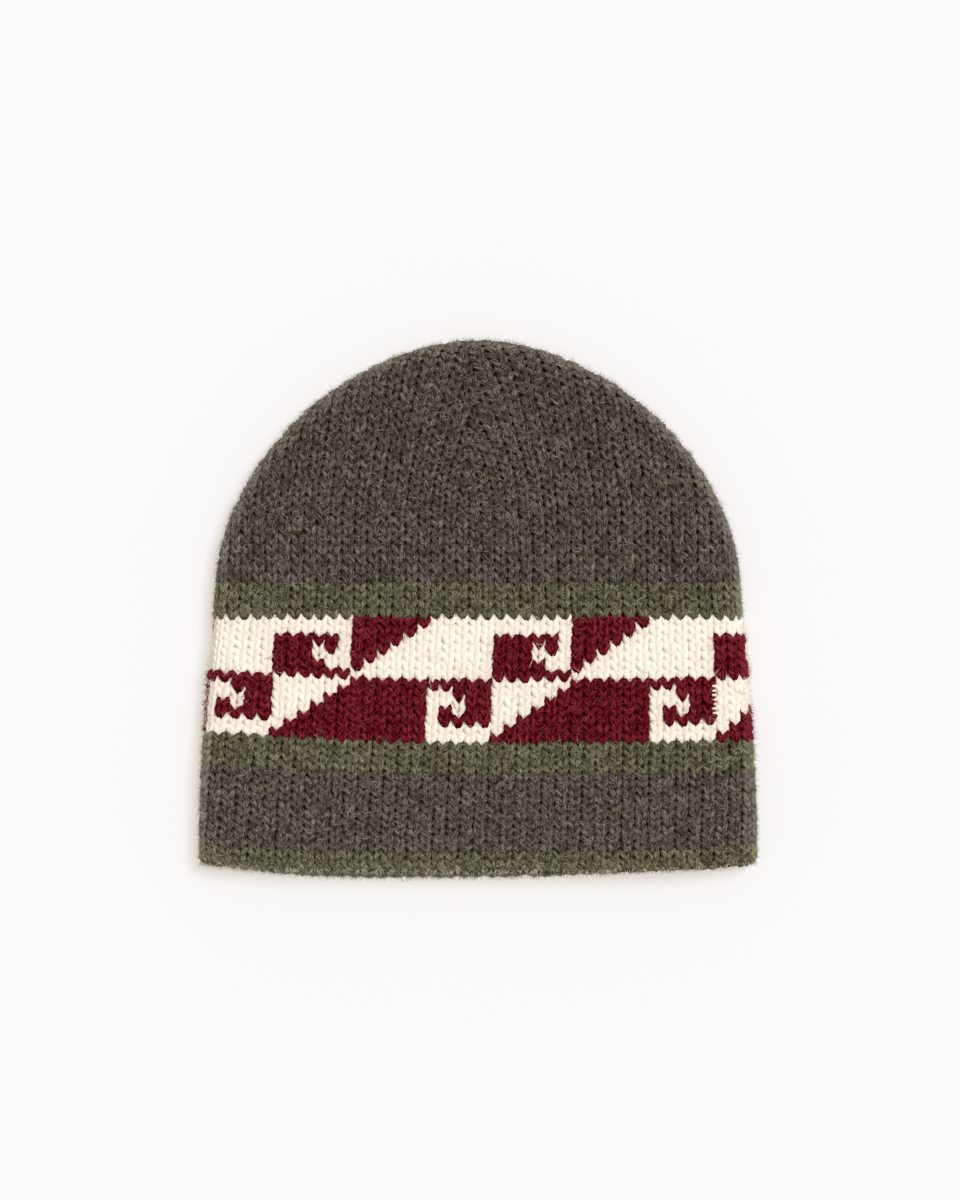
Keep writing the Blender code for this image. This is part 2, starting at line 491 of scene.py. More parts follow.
def body_half_width(y):
    """Half the width of the straight part, which widens to the mouth."""
    below = np.clip(-y / STRAIGHT, 0.0, 1.0)
    return SHOULDER_WIDTH / 2 + HEM_FLARE / 2 * np.sin(math.pi / 2 * below)


def to_outline(x, y):
    """The nearest place on the outline, the way it faces, and how far past the seat of the fold."""
    side = np.where(x < 0, -1.0, 1.0)
    edge = np.stack([body_half_width(y), y], -1)
    outward = np.zeros_like(edge)
    outward[:, 0] = 1.0
    for n in np.nonzero(y > 0)[0]:
        best = ((abs(x[n]) - CROWN_EDGE[:, 0]) ** 2 + (y[n] - CROWN_EDGE[:, 1]) ** 2).argmin()
        edge[n] = CROWN_EDGE[best]
        outward[n] = CROWN_OUTWARD[best]
    past = FOLD_RADIUS + (np.abs(x) - edge[:, 0]) * outward[:, 0] + (y - edge[:, 1]) * outward[:, 1]
    return side, edge, outward, past


def cad_surface():
    """The CAD cap as a tree to cast rays at."""
    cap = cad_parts["knit_cap"].data
    return BVHTree.FromPolygons([v.co for v in cap.vertices], [p.vertices for p in cap.polygons])


CAD_CAP = cad_surface()
RAY_HEIGHT = 0.1
INSIDE_THE_MOUTH = 0.004


def top_height(x, y):
    """Height of the CAD's top layer above each place."""
    lowest = -STRAIGHT - FRONT_HEM_SAG + INSIDE_THE_MOUTH
    heights = []
    for px, py in zip(x, y):
        start = Vector((px, max(py, lowest) + SHOULDER_Y, RAY_HEIGHT))
        hit = CAD_CAP.ray_cast(start, Vector((0, 0, -1)))[0]
        heights.append(hit.z if hit else 2 * FOLD_RADIUS)
    return np.array(heights)


def on_cap(front, x, y, inset):
    """Places of a layer laid out flat, rolled round the folds: points and the way they face."""
    side, edge, outward, past = to_outline(x, y)
    turn = np.clip(past / FOLD_RADIUS, 0.0, math.pi)
    radius = FOLD_RADIUS - inset
    flat = past <= 0
    facing = 1.0 if front else -1.0
    reach = radius * np.sin(turn)
    seat = edge - FOLD_RADIUS * outward
    px = np.where(flat, x, side * (seat[:, 0] + outward[:, 0] * reach))
    py = np.where(flat, y, seat[:, 1] + outward[:, 1] * reach)
    level = top_height(x, y) - inset if front else np.full(len(x), inset)
    pz = np.where(flat, level, FOLD_RADIUS + facing * radius * np.cos(turn))
    nx = np.where(flat, 0.0, side * outward[:, 0] * np.sin(turn))
    ny = np.where(flat, 0.0, outward[:, 1] * np.sin(turn))
    nz = np.where(flat, facing, facing * np.cos(turn))
    return np.stack([px, py + SHOULDER_Y, pz], -1), np.stack([nx, ny, nz], -1), past


# Rows and columns

def row_tables():
    """The row that each stripe ends on, and its height."""
    rows, heights = [0], [EDGE_HEIGHT]
    for _, count, top in STRIPE_ROWS:
        rows.append(rows[-1] + count)
        heights.append(top)
    return np.array(rows, float), np.array(heights)


ROW_AT, HEIGHT_AT = row_tables()
HEM_ROW = (HEIGHT_AT[1] - HEIGHT_AT[0]) / ROW_AT[1]


def height_of(row):
    """Height of a row's lower edge up the middle of the front, from the front hem."""
    row = np.asarray(row, float)
    above = np.maximum(row - BODY_ROWS, 0.0)
    above = above * (CROWN_ROW - CROWN_ROW_LOSS / 2 * above)
    below = np.minimum(row, 0.0) * HEM_ROW
    return np.interp(row, ROW_AT, HEIGHT_AT) + above + below


def from_shoulder(height):
    """A height above the front hem, measured from the shoulder."""
    return height - BODY_LENGTH - FRONT_HEM_SAG


def smooth(x):
    """Eases from 0 to 1."""
    x = np.clip(x, 0.0, 1.0)
    return x * x * (3 - 2 * x)


def body_place(column, row):
    """Where a column and a row of the straight part cross: layer, and place laid out flat."""
    column = np.asarray(column, float)
    row = np.asarray(row, float)
    y = from_shoulder(height_of(row))
    half = body_half_width(y) + (math.pi / 2 - 1) * FOLD_RADIUS
    place = np.mod(column - FIRST_FRONT_COLUMN, STITCHES_ROUND)
    front_share = place / FRONT_COLUMNS
    back_share = 1 + (place - FRONT_COLUMNS) / (STITCHES_ROUND - FRONT_COLUMNS)
    arc = 2 * half * np.where(place < FRONT_COLUMNS, front_share, back_share)
    arc = np.mod(arc - WALE_LEAN * np.maximum(LEAN_FROM - height_of(row), 0.0), 4 * half)
    front = arc < 2 * half
    x = np.where(front, arc - half, 3 * half - arc)
    across = np.clip(x / body_half_width(y), -1.0, 1.0)
    drawn = smooth((across - DRAW_STARTS) / DRAW_RISE) * (1 - smooth((across - DRAW_ENDS) / DRAW_FALL))
    x = x + np.where(front, WALE_DRAW * drawn * smooth((LEAN_FROM - height_of(row)) / DRAW_HEIGHT), 0.0)
    left = np.interp(row, *LEFT_LIFT)
    right = np.interp(row, *RIGHT_LIFT)
    power = np.interp(row, *LIFT_POWER)
    lifted = np.where(across < 0, left, right) * np.abs(across) ** power
    reach = np.where(across > BACK_HEM_SKEW, 1 - BACK_HEM_SKEW, 1 + BACK_HEM_SKEW)
    sag = BACK_HEM_DROP * (1 - np.abs((across - BACK_HEM_SKEW) / reach) ** BACK_HEM_POWER)
    hang = left * (1 - across) / 2 + right * (1 + across) / 2 - sag * np.clip(-y / STRAIGHT, 0, 1) ** HEM_FADE
    return front, x, y + np.where(front, lifted, hang)


def body_point(column, row, inset=MIDDLE_WALL):
    """Where a column and a row of the straight part cross on the folded wall, and the way it faces."""
    front, x, y = body_place(column, row)
    points = np.zeros((len(x), 3))
    facing = np.zeros((len(x), 3))
    for layer in (True, False):
        mine = front == layer
        if mine.any():
            points[mine], facing[mine], _ = on_cap(layer, x[mine], y[mine], inset)
    return points, facing


def stitch_vectors(middle, left, right, low, high):
    """The vectors that a stitch is bent to, from its middle and the middles of its four sides."""
    (c, out), (l, out_l), (r, out_r), (b, out_b), (t, out_t) = middle, left, right, low, high
    return {"place": c, "across": r - l, "along": t - b, "bend": r + l - 2 * c, "curl": t + b - 2 * c,
            "out": out, "fan": out_r - out_l, "tip": out_t - out_b}


def body_stitches():
    """The straight part's stitches: the row and the column of each, and its vectors."""
    row, column = np.meshgrid(np.arange(BODY_ROWS), np.arange(STITCHES_ROUND), indexing="ij")
    row, column = row.ravel(), column.ravel()
    r, c = row + 0.5, column + 0.5
    vectors = stitch_vectors(body_point(c, r), body_point(c - 0.5, r), body_point(c + 0.5, r),
                             body_point(c, r - 0.5), body_point(c, r + 0.5))
    return row, column, vectors


def crown_grid(front):
    """Places of the crown's half rows and half columns, laid out flat, with the wales closing up."""
    half = SHOULDER_WIDTH / 2 + (math.pi / 2 - 1) * FOLD_RADIUS
    columns = FRONT_COLUMNS if front else STITCHES_ROUND - FRONT_COLUMNS
    first = FIRST_FRONT_COLUMN if front else FIRST_FRONT_COLUMN + FRONT_COLUMNS
    start = math.floor(first) - 1
    count = math.ceil(columns) + 3
    c = start + np.arange(2 * count + 1) / 2
    x = -half + 2 * half * (c - first) / columns
    if not front:
        x = -x
    closing = x[np.argmin(np.abs(x - (CLOSING_X if front else -CLOSING_X)) + (np.arange(len(x)) % 2))]
    side = np.where(x < closing, -1.0, 1.0)
    xs, ys = [], []
    here = None
    for step in range(2 * CROWN_ROWS + 1):
        level = from_shoulder(float(height_of(BODY_ROWS + step / 2)))
        gap = np.abs(x - closing)
        dip = DIP_DEPTH * smooth((level - DIP_FROM) / DIP_GROWTH)
        now = level - dip * np.maximum(1 - gap / DIP_REACH, 0.0)
        if here is not None:
            even = EVEN_LEAN * smooth((now - EVEN_LEAN_FROM) / LEAN_GROWTH)
            close = np.where(side < 0, LEFT_LEAN, RIGHT_LEAN) * np.exp(-gap / CLOSE_LEAN_REACH)
            lean = even + close * smooth((now - CLOSE_LEAN_FROM) / LEAN_GROWTH)
            gap = np.maximum(gap - np.tan(lean) * (now - here), 0.0)
            x = closing + side * gap
        here = now
        xs.append(x)
        ys.append(now)
    return np.array(xs), np.array(ys)


def crown_stitches(front):
    """The crown's stitches on one layer, where they are wide enough and hardly past the fold's middle."""
    xs, ys = crown_grid(front)
    xs[:, 1:-1:2] = (xs[:, 0:-2:2] + xs[:, 2::2]) / 2
    rows, columns = xs.shape
    shape = (rows, columns, 3)
    points, facing, past = on_cap(front, xs.ravel(), ys.ravel(), MIDDLE_WALL)
    points, facing, past = points.reshape(shape), facing.reshape(shape), past.reshape(rows, columns)
    middles = np.meshgrid(np.arange(1, rows - 1, 2), np.arange(1, columns - 1, 2), indexing="ij")
    i, j = [axis.ravel() for axis in middles]
    full = np.abs(xs[0, 2] - xs[0, 0])
    wide = np.abs(xs[i, j + 1] - xs[i, j - 1]) > NARROWEST_STITCH * full
    kept = wide & (past[i, j] < math.pi / 2 * FOLD_RADIUS + PAST_THE_FOLD)
    i, j = i[kept], j[kept]

    def at(row, column):
        return points[row, column], facing[row, column]

    vectors = stitch_vectors(at(i, j), at(i, j - 1), at(i, j + 1), at(i - 1, j), at(i + 1, j))
    return past[i, j], vectors


def without_doubles(kept, vectors, past):
    """Leaves out the stitches of one layer that lie on the other layer's at the fold."""
    near = past > math.pi / 4 * FOLD_RADIUS
    keep = np.ones(len(past), bool)
    for n in np.nonzero(near)[0]:
        gaps = np.linalg.norm(kept["place"] - vectors["place"][n], axis=1)
        keep[n] = gaps.min() > LEAST_GAP
    return {name: values[keep] for name, values in vectors.items()}


def chosen(vectors, mask):
    """The vectors of some of the stitches."""
    return {name: values[mask] for name, values in vectors.items()}


# Spread of the hand's unevenness: shares of a stitch, but for the lift, which is a length
UNEVEN_PLACE = 0.034
UNEVEN_LIFT = 0.00010
UNEVEN_LEAN = 0.055
UNEVEN_HEIGHT = 0.05
UNEVEN_WIDTH = 0.03


def uneven(vectors):
    """Hand-knit unevenness: each stitch a little off its place, its slant and its tone."""
    count = len(vectors["place"])
    made = dict(vectors)
    shift = rng.normal(0.0, 1.0, (count, 2)) * UNEVEN_PLACE
    made["place"] = vectors["place"] + vectors["across"] * shift[:, :1] + vectors["along"] * shift[:, 1:2]
    made["place"] = made["place"] + vectors["out"] * rng.normal(0.0, UNEVEN_LIFT, (count, 1))
    lean = rng.normal(0.0, UNEVEN_LEAN, (count, 1))
    taller = 1 + rng.normal(0.0, UNEVEN_HEIGHT, (count, 1))
    made["along"] = vectors["along"] * taller + vectors["across"] * lean
    made["across"] = vectors["across"] * (1 + rng.normal(0.0, UNEVEN_WIDTH, (count, 1)))
    made["tone"] = rng.uniform(0.0, 1.0, count)
    return made


# Materials

WOOL_ROUGHNESS = 0.95
FIBRE_ROUGHNESS = 0.9
FAINT_GLOSS = 0.05
OLIVE_SHADES = ((0.97, 1.02, 0.96), (1.0, 1.0, 1.0), (1.02, 0.985, 0.99))
# The colour of the painted light on the back hem's foot
FOOT_PAINTED_LIGHT_COLOUR = (0.62, 0.59, 0.47)

# Painted light where the back hem would take light from the floor: below a height, and at the mouth
FOOT_TOP, FOOT_FLOOR = 0.0065, 0.0015
FOOT_STARTS, FOOT_MOUTH = -0.1070, -0.1095
FOOT_PAINTED_LIGHT_STRENGTH = 0.70

# Parts of a yarn's shade, which runs from dark at 0 to light at 1
MEAN_SHADE = 0.452
TONE_SHADE = 0.12
CLUMP_SHADE = 0.6
HAIR_SHADE = 0.40
# The level at which the painted shade at the loops' ends neither darkens nor lightens
END_SHADE_LEVEL = 0.10
# Strength of the painted sheen that makes the stitches on the folds paler
FOLD_PAINTED_SHEEN = 0.32
CROWNWARD_SHADE = 0.30
BLUSH = 0.24


def matt(name, roughness, gloss):
    """A new material, with its tree and its shader."""
    material = bpy.data.materials.new(name)
    material.use_nodes = True
    shader = material.node_tree.nodes["Principled BSDF"]
    shader.inputs["Roughness"].default_value = roughness
    shader.inputs["Specular IOR Level"].default_value = gloss
    return material, Tree(material.node_tree), shader


def wool(name, dark, middle, light, shades, contrast=3.0, bump=0.6, gloss=0.06, blush=None, painted_end_shade=0.46,
         painted_foot_light=None):
    """Yarn: fibres that wind along it, wandering shades, painted shade at the loops' ends, folds made paler
    by painted sheen, painted light at the back hem's foot, and a blush beside the other yarn.
    """
    material, t, shader = matt(name, WOOL_ROUGHNESS, gloss)
    yarn = t.carried("yarn", "Vector")
    tone = t.carried("tone")
    place = t.node("ShaderNodeTexCoord", output="Object")

    def noise(vector, scale, detail, seed=0.0):
        return t.node("ShaderNodeTexNoise", {"noise_dimensions": "4D"},
                      {"Vector": vector, "W": seed, "Scale": scale, "Detail": detail, "Roughness": 0.62})

    strands = noise(yarn * (1.0, 1.0, 0.26), scale=2.9, detail=3.0, seed=tone * 60.0)
    hairs = noise(yarn * (1.0, 1.0, 0.12), scale=5.5, detail=2.0, seed=tone * 31.0)
    clumps = noise(place, scale=330.0, detail=2.0)
    patches = noise(place, scale=62.0, detail=3.0, seed=4.0)
    bright = t.between(hairs, start=0.56, end=0.70, reach=HAIR_SHADE)
    along = t.maths("COSINE", t.part(yarn, 2) * (2 * math.pi / LOOP_RUN))
    shade = MEAN_SHADE + (strands - 0.5) * contrast + (tone - 0.5) * TONE_SHADE
    # Painted shade: each loop is darker towards its head and feet, in the crevices where the rows overlap
    shade = shade + (clumps - 0.5) * CLUMP_SHADE + bright - (along * along - END_SHADE_LEVEL) * painted_end_shade
    # Painted sheen makes the stitches on the folds paler; the shade also darkens towards the crown
    shade = shade + t.carried("fold") * FOLD_PAINTED_SHEEN - t.part(place, 1) * CROWNWARD_SHADE
    tint = t.colours(patches, zip((0.38, 0.50, 0.62), shades))
    colour = t.mix("MULTIPLY", 1.0, t.colours(shade, ((0.05, dark), (0.48, middle), (1.0, light))), tint)
    # Painted light: the back hem's foot, low by the floor at the mouth, is made paler
    if painted_foot_light:
        low = t.between(t.part(place, 2), FOOT_TOP, FOOT_FLOOR, FOOT_PAINTED_LIGHT_STRENGTH)
        low = low * t.between(t.part(place, 1), FOOT_STARTS, FOOT_MOUTH, 1.0)
        colour = t.mix("MIX", low, colour, (*painted_foot_light, 1))
    if blush:
        colour = t.mix("MIX", t.carried("beside") * strands * BLUSH, colour, (*blush, 1))
    t.feed(shader.inputs["Base Color"], colour)
    t.feed(shader.inputs["Normal"], t.node("ShaderNodeBump", None, {"Strength": bump, "Distance": 0.0005,
                                                                    "Height": strands + hairs * 0.5}))
    return material


def speckled(name, dark, light, scale):
    """Loose fibres: some take the light and some don't."""
    material, t, shader = matt(name, FIBRE_ROUGHNESS, FAINT_GLOSS)
    place = t.node("ShaderNodeTexCoord", output="Object")
    noise = t.node("ShaderNodeTexNoise", None, {"Vector": place, "Scale": scale, "Detail": 1.0})
    t.feed(shader.inputs["Base Color"], t.colours(noise, ((0.36, dark), (0.62, light))))
    return material


def lining(name, dark, light):
    """The purl side: a bump to every stitch, and floats that lie across."""
    material, t, shader = matt(name, WOOL_ROUGHNESS, FAINT_GLOSS)
    place = t.node("ShaderNodeTexCoord", output="Object")
    across = t.maths("SINE", t.part(place, 0) * (2 * math.pi / STITCH_WIDTH))
    along = t.maths("SINE", t.part(place, 1) * (2 * math.pi / ROW_HEIGHT) + across * 0.8)
    fibres = t.node("ShaderNodeTexNoise", None,
                    {"Vector": place * (1.0, 3.0, 1.0), "Scale": 900.0, "Detail": 3.0})
    shade = 0.5 + along * 0.3 + (fibres - 0.5) * 1.2
    t.feed(shader.inputs["Base Color"], t.colours(shade, ((0.1, dark), (0.9, light))))
    t.feed(shader.inputs["Normal"], t.node("ShaderNodeBump", None, {"Strength": 0.8, "Distance": 0.001,
                                                                    "Height": along + fibres}))
    return material


# The ground: the inside of the knit, set back from the CAD's outside by two depths

GROUND_OUTSIDE = 0.0027
GROUND_INSIDE = KNIT_THICKNESS + 0.0002
GROUND_SHORT_OF_MOUTH = 0.0036
GROUND_STATIONS = 25
LAYER_STEPS = 20
FOLD_STEPS = 6
# Which lining lies behind each stripe and the crown: 0 charcoal, 1 olive, 2 the fret's
STRIPE_LININGS = (1, 0, 1, 2, 1, 0)


def ground_ring(half, seat, middle, outward, sag, inset):
    """One ring of the backing, as the CAD model makes it: top, left fold, back, right fold."""
    points = []

    def place(x, y, z, front_share):
        across = max(-1.0, min(1.0, x / max(half, 1e-9)))
        reach = 1 - BACK_HEM_SKEW if across > BACK_HEM_SKEW else 1 + BACK_HEM_SKEW
        front = FRONT_HEM_SAG * (1 - abs(across) ** HEM_SQUARENESS)
        back = BACK_HEM_SAG * (1 - abs((across - BACK_HEM_SKEW) / reach) ** HEM_SQUARENESS)
        points.append((x, y - sag * (front * front_share + back * (1 - front_share)), z))

    def layer(turns, front_share):
        for turn in turns:
            y = seat[1] - (seat[1] - middle) * math.cos(turn)
            place(seat[0] * math.sin(turn), y, inset, front_share)

    def fold(side, turns):
        for turn in turns:
            reach = (FOLD_RADIUS - inset) * math.cos(turn)
            place(side * (seat[0] + outward[0] * reach), seat[1] + outward[1] * reach,
                  FOLD_RADIUS + (FOLD_RADIUS - inset) * math.sin(turn), (1 + math.sin(turn)) / 2)

    across = [math.pi / 2 * (1 - 2 * step / LAYER_STEPS) for step in range(LAYER_STEPS + 1)]
    around = [math.pi / 2 * (1 - 2 * step / FOLD_STEPS) for step in range(1, FOLD_STEPS)]
    layer(across, 1.0)
    heights = top_height([x for x, _, _ in points], [y for _, y, _ in points])
    points[:] = [(x, y, z - inset) for (x, y, _), z in zip(points, heights)]
    fold(-1, around)
    layer(reversed(across), 0.0)
    fold(1, reversed(around))
    return [(x, y + SHOULDER_Y, z) for x, y, z in points]


def ground_stations():
    """Rings from the mouth to the tip: half width, seat, middle, outward, share of the sag."""
    stations = []
    for below in np.linspace(1.0 - GROUND_SHORT_OF_MOUTH / STRAIGHT, 0.0, GROUND_STATIONS):
        level = -STRAIGHT * below
        half = float(body_half_width(level))
        stations.append((half, (half - FOLD_RADIUS, level), level, (1.0, 0.0), below ** HEM_FADE))
    edge, outward = outline_of_crown(GROUND_STATIONS)
    turns = np.linspace(0, math.pi / 2, GROUND_STATIONS)
    for (x, y), (nx, ny), turn in list(zip(edge, outward, turns))[1:]:
        rounding = math.sin(turn) ** 2
        level = rounding * (1 - math.cos(turn)) + (1 - rounding) * math.sin(turn)
        seat = (x - FOLD_RADIUS * nx, y - FOLD_RADIUS * ny)
        stations.append((x, seat, (CROWN_HEIGHT - FOLD_RADIUS) * level, (nx, ny), 0.0))
    return stations


def make_ground(materials):
    """The purl side of the knit and the floats behind it: a thin closed wall behind the stitches."""
    stations = ground_stations()
    rings = [ground_ring(*station, GROUND_OUTSIDE) for station in reversed(stations)]
    rings += [ground_ring(*station, GROUND_INSIDE) for station in stations]
    shell = bmesh.new()
    rows = [[shell.verts.new(point) for point in points] for points in rings]
    for upper, lower in zip(rows, rows[1:]):
        for here in range(len(upper)):
            there = (here + 1) % len(upper)
            shell.faces.new((upper[here], upper[there], lower[there], lower[here]))
    bmesh.ops.remove_doubles(shell, verts=shell.verts, dist=1e-6)
    bmesh.ops.recalc_face_normals(shell, faces=shell.faces)
    bounds = [float(from_shoulder(height_of(row))) + SHOULDER_Y for row in ROW_AT[1:]]
    for face in shell.faces:
        y = face.calc_center_median().y
        face.material_index = STRIPE_LININGS[sum(y > bound for bound in bounds)]
        face.smooth = True
    mesh = bpy.data.meshes.new("knit_ground")
    shell.to_mesh(mesh)
    shell.free()
    for material in materials:
        mesh.materials.append(material)
    made = bpy.data.objects.new("knit_ground", mesh)
    bpy.context.scene.collection.objects.link(made)
    return made


# The four yarns, and the loose fibres and the haze that each sheds

CHARCOAL = wool("charcoal_wool", (0.017, 0.0125, 0.0098), (0.066, 0.0508, 0.0398), (0.24, 0.206, 0.174),
                ((0.99, 1.02, 0.95), (1.0, 1.0, 1.0), (1.01, 0.98, 1.03)))
OLIVE = wool("olive_wool", (0.022, 0.018, 0.006), (0.088, 0.079, 0.042), (0.28, 0.26, 0.165),
             OLIVE_SHADES, painted_foot_light=FOOT_PAINTED_LIGHT_COLOUR)
CREAM = wool("cream_wool", (0.75, 0.68, 0.57), (0.868, 0.808, 0.695), (0.915, 0.86, 0.765),
             ((1.0, 0.99, 0.97), (1.0, 1.0, 1.0), (1.0, 0.985, 0.97)), contrast=1.0, bump=0.12,
             blush=(0.80, 0.36, 0.34), painted_end_shade=0.0)
BURGUNDY = wool("burgundy_wool", (0.042, 0.0004, 0.0016), (0.107, 0.0026, 0.0084), (0.235, 0.026, 0.042),
                ((0.92, 0.92, 0.92), (1.0, 1.0, 1.0), (1.08, 1.08, 1.08)), contrast=4.6, gloss=0.0, painted_end_shade=0.95)
# The mouth's edge in the olive yarn painted paler: painted light where the edge lies in the front layer's
# shade
EDGE_OLIVE_PAINTED_LIGHT = wool("edge_wool_painted_light", (0.075, 0.067, 0.036), (0.215, 0.197, 0.125), (0.50, 0.47, 0.36),
                  OLIVE_SHADES, contrast=2.4, painted_foot_light=FOOT_PAINTED_LIGHT_COLOUR)
FIBRE_SPECKS = 260.0
HAZE_SPECKS = 300.0
LOOSE = {
    "charcoal": speckled("charcoal_fibre", (0.070, 0.058, 0.045), (0.42, 0.38, 0.32), FIBRE_SPECKS),
    "olive": speckled("olive_fibre", (0.085, 0.080, 0.042), (0.48, 0.46, 0.34), FIBRE_SPECKS),
    "cream": speckled("cream_fibre", (0.80, 0.72, 0.62), (0.93, 0.86, 0.77), FIBRE_SPECKS),
    "burgundy": speckled("burgundy_fibre", (0.12, 0.005, 0.012), (0.48, 0.085, 0.115), FIBRE_SPECKS),
}
# The haze is painted paler than the loose fibres of the same yarn: painted light, for fuzz that catches the
# light at the folds and the mouth
HAZE = {
    "charcoal": speckled("charcoal_haze", (0.34, 0.33, 0.25), (0.70, 0.67, 0.56), HAZE_SPECKS),
    "olive": speckled("olive_haze", (0.36, 0.34, 0.22), (0.74, 0.69, 0.54), HAZE_SPECKS),
    "cream": speckled("cream_haze", (0.85, 0.76, 0.66), (0.95, 0.88, 0.80), HAZE_SPECKS),
    "burgundy": speckled("burgundy_haze", (0.20, 0.02, 0.03), (0.50, 0.12, 0.14), HAZE_SPECKS),
}

# How each yarn sits: thickness, depth and lie of its loops
FULLNESS = {
    "charcoal": {"Yarn radius": 0.00124, "Loop depth": 0.00108},
    "olive": {"Yarn radius": 0.00124, "Loop depth": 0.00104},
    "cream": {"Yarn radius": 0.00150, "Loop depth": 0.00034, "Squash": 0.52, "Lumps": 0.00006,
              "Loop height": 1.14, "Slant": 0.280, "Pinch": 0.004, "Dive": 0.00100, "Tilt": 0.00020,
              "Sink": 0.00120},
    "burgundy": {"Yarn radius": 0.00118, "Loop depth": 0.00124},
}
CROWN_PINCH = 0.020

STITCHES = stitch_tree()
FIBRES = fibre_tree()
EDGE = edge_tree()

# What stands off the stitches: how many to a stitch, degrees that they rise, and lengths
FIBRES_PER_STITCH = {"charcoal": 5.5, "olive": 7.0, "cream": 1.0, "burgundy": 6.0}
FIBRES_UNDER_STITCH = 1.0
HAZE_PER_STITCH = 32.0
FIBRE_RISES, FIBRE_LENGTHS = (-4, 16), (0.0014, 0.0040)
HAZE_RISES, HAZE_LENGTHS = (5, 80), (0.0006, 0.0019)
ROOT_HEIGHTS = (0.0015, 0.0023)
FLAT_FACING = 0.8
# How far round a fold the painted sheen grows to its full strength
FOLD_SHEEN_SPREAD = 0.6
loose_ends = {name: [] for name in LOOSE}
haze_ends = {name: [] for name in LOOSE}


def unit(vectors):
    return vectors / np.maximum(np.linalg.norm(vectors, axis=1), 1e-9)[:, None]


def shed(vectors, yarn):
    """Loose fibres that stand off the stitches of one yarn: flat ones on the layers, a haze at the folds."""
    facing = vectors["out"][:, 2]
    for ends, stitches, each, rises, lengths in (
            (loose_ends, facing >= FLAT_FACING, FIBRES_PER_STITCH[yarn], FIBRE_RISES, FIBRE_LENGTHS),
            (loose_ends, facing <= -FLAT_FACING, FIBRES_UNDER_STITCH, FIBRE_RISES, FIBRE_LENGTHS),
            (haze_ends, np.abs(facing) < FLAT_FACING, HAZE_PER_STITCH, HAZE_RISES, HAZE_LENGTHS)):
        v = chosen(vectors, stitches)
        total = len(v["place"])
        v = chosen(v, rng.integers(0, total, int(each * total)))
        count = len(v["place"])
        u, w = rng.uniform(-0.5, 0.5, (2, count, 1))
        height = rng.uniform(*ROOT_HEIGHTS, (count, 1))
        root = v["place"] + v["across"] * u + v["along"] * w + v["out"] * height
        root = root + v["bend"] * 2 * u * u + v["curl"] * 2 * w * w
        out = unit(v["out"] + v["fan"] * u + v["tip"] * w)
        heading = rng.uniform(0, 2 * math.pi, (count, 1))
        rise = np.radians(rng.uniform(*rises, (count, 1)))
        way = unit(v["across"]) * np.cos(heading) + unit(v["along"]) * np.sin(heading)
        ends[yarn].append({"place": root, "way": way * np.cos(rise) + out * np.sin(rise),
                           "spin": rng.uniform(0, 2 * math.pi, count),
                           "length": rng.uniform(*lengths, count)})


def charted(from_top, column):
    """The chart's letter for each stitch; above and below the band it repeats its edge rows."""
    rows = np.clip(from_top, 0, len(FRET) - 1)
    return np.array([FRET[a][b % len(FRET[0])] for a, b in zip(rows, column)])


def knit(name, vectors, material, slot, **settings):
    """Knits one piece: its stitches made uneven, its fibres shed, and a loop grown on each."""
    yarn = slot.split("_")[0]
    vectors = uneven(vectors)
    # Painted sheen: the more a stitch faces sideways on a fold, the paler it is made
    edgewise = np.sqrt(np.maximum(1 - np.abs(vectors["out"][:, 2]), 0.0))
    vectors["fold"] = np.minimum(edgewise / FOLD_SHEEN_SPREAD, 1.0)
    shed(vectors, yarn)
    settings = {**FULLNESS[yarn], **settings}
    piece = grow(name, vectors["place"], vectors, STITCHES, {"Yarn": material, **settings},
                 keep=("yarn", "tone", "beside", "fold"))
    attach(piece, "root")
    return piece


ground = make_ground((
    lining("charcoal_ground", (0.030, 0.023, 0.018), (0.110, 0.088, 0.070)),
    lining("olive_ground", (0.036, 0.031, 0.014), (0.130, 0.115, 0.064)),
    lining("fret_ground", (0.055, 0.003, 0.005), (0.180, 0.026, 0.028)),
))
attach(ground, "root")
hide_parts("knit_cap")


def knit_body():
    """The straight part, stripe by stripe; the band's two yarns are a piece each."""
    row, column, body = body_stitches()
    first = 0
    for stripe, count, _ in STRIPE_ROWS:
        mine = (row >= first) & (row < first + count)
        if stripe == "fret_band":
            from_top = BAND_LAST_ROW - row
            extra = (from_top == 0) & (column == EXTRA_CREAM_COLUMN)
            cream = (charted(from_top, column) != "B") | extra
            around = ((0, -1), (0, 1), (-1, 0), (1, 0))
            burgundy_near = [charted(from_top + a, column + b) == "B" for a, b in around]
            body["open"] = (charted(from_top, column) == "O").astype(float)
            body["beside"] = sum(near.astype(float) for near in burgundy_near) / 2
            knit("fret_cream", chosen(body, mine & cream), CREAM, "cream_wool")
            knit("fret_burgundy", chosen(body, mine & ~cream), BURGUNDY, "burgundy_wool")
        elif stripe == "brim":
            knit(stripe, chosen(body, mine), CHARCOAL, "charcoal_wool")
        else:
            knit(stripe, chosen(body, mine), OLIVE, "olive_wool")
        first += count


def knit_crown():
    """The crown's two layers, which meet along the fold."""
    crown_front = crown_stitches(True)[1]
    past_back, crown_back = crown_stitches(False)
    crown_back = without_doubles(crown_front, crown_back, past_back)
    knit("crown_front", crown_front, CHARCOAL, "charcoal_wool", Pinch=CROWN_PINCH)
    knit("crown_back", crown_back, CHARCOAL, "charcoal_wool", Pinch=CROWN_PINCH)


knit_body()
knit_crown()

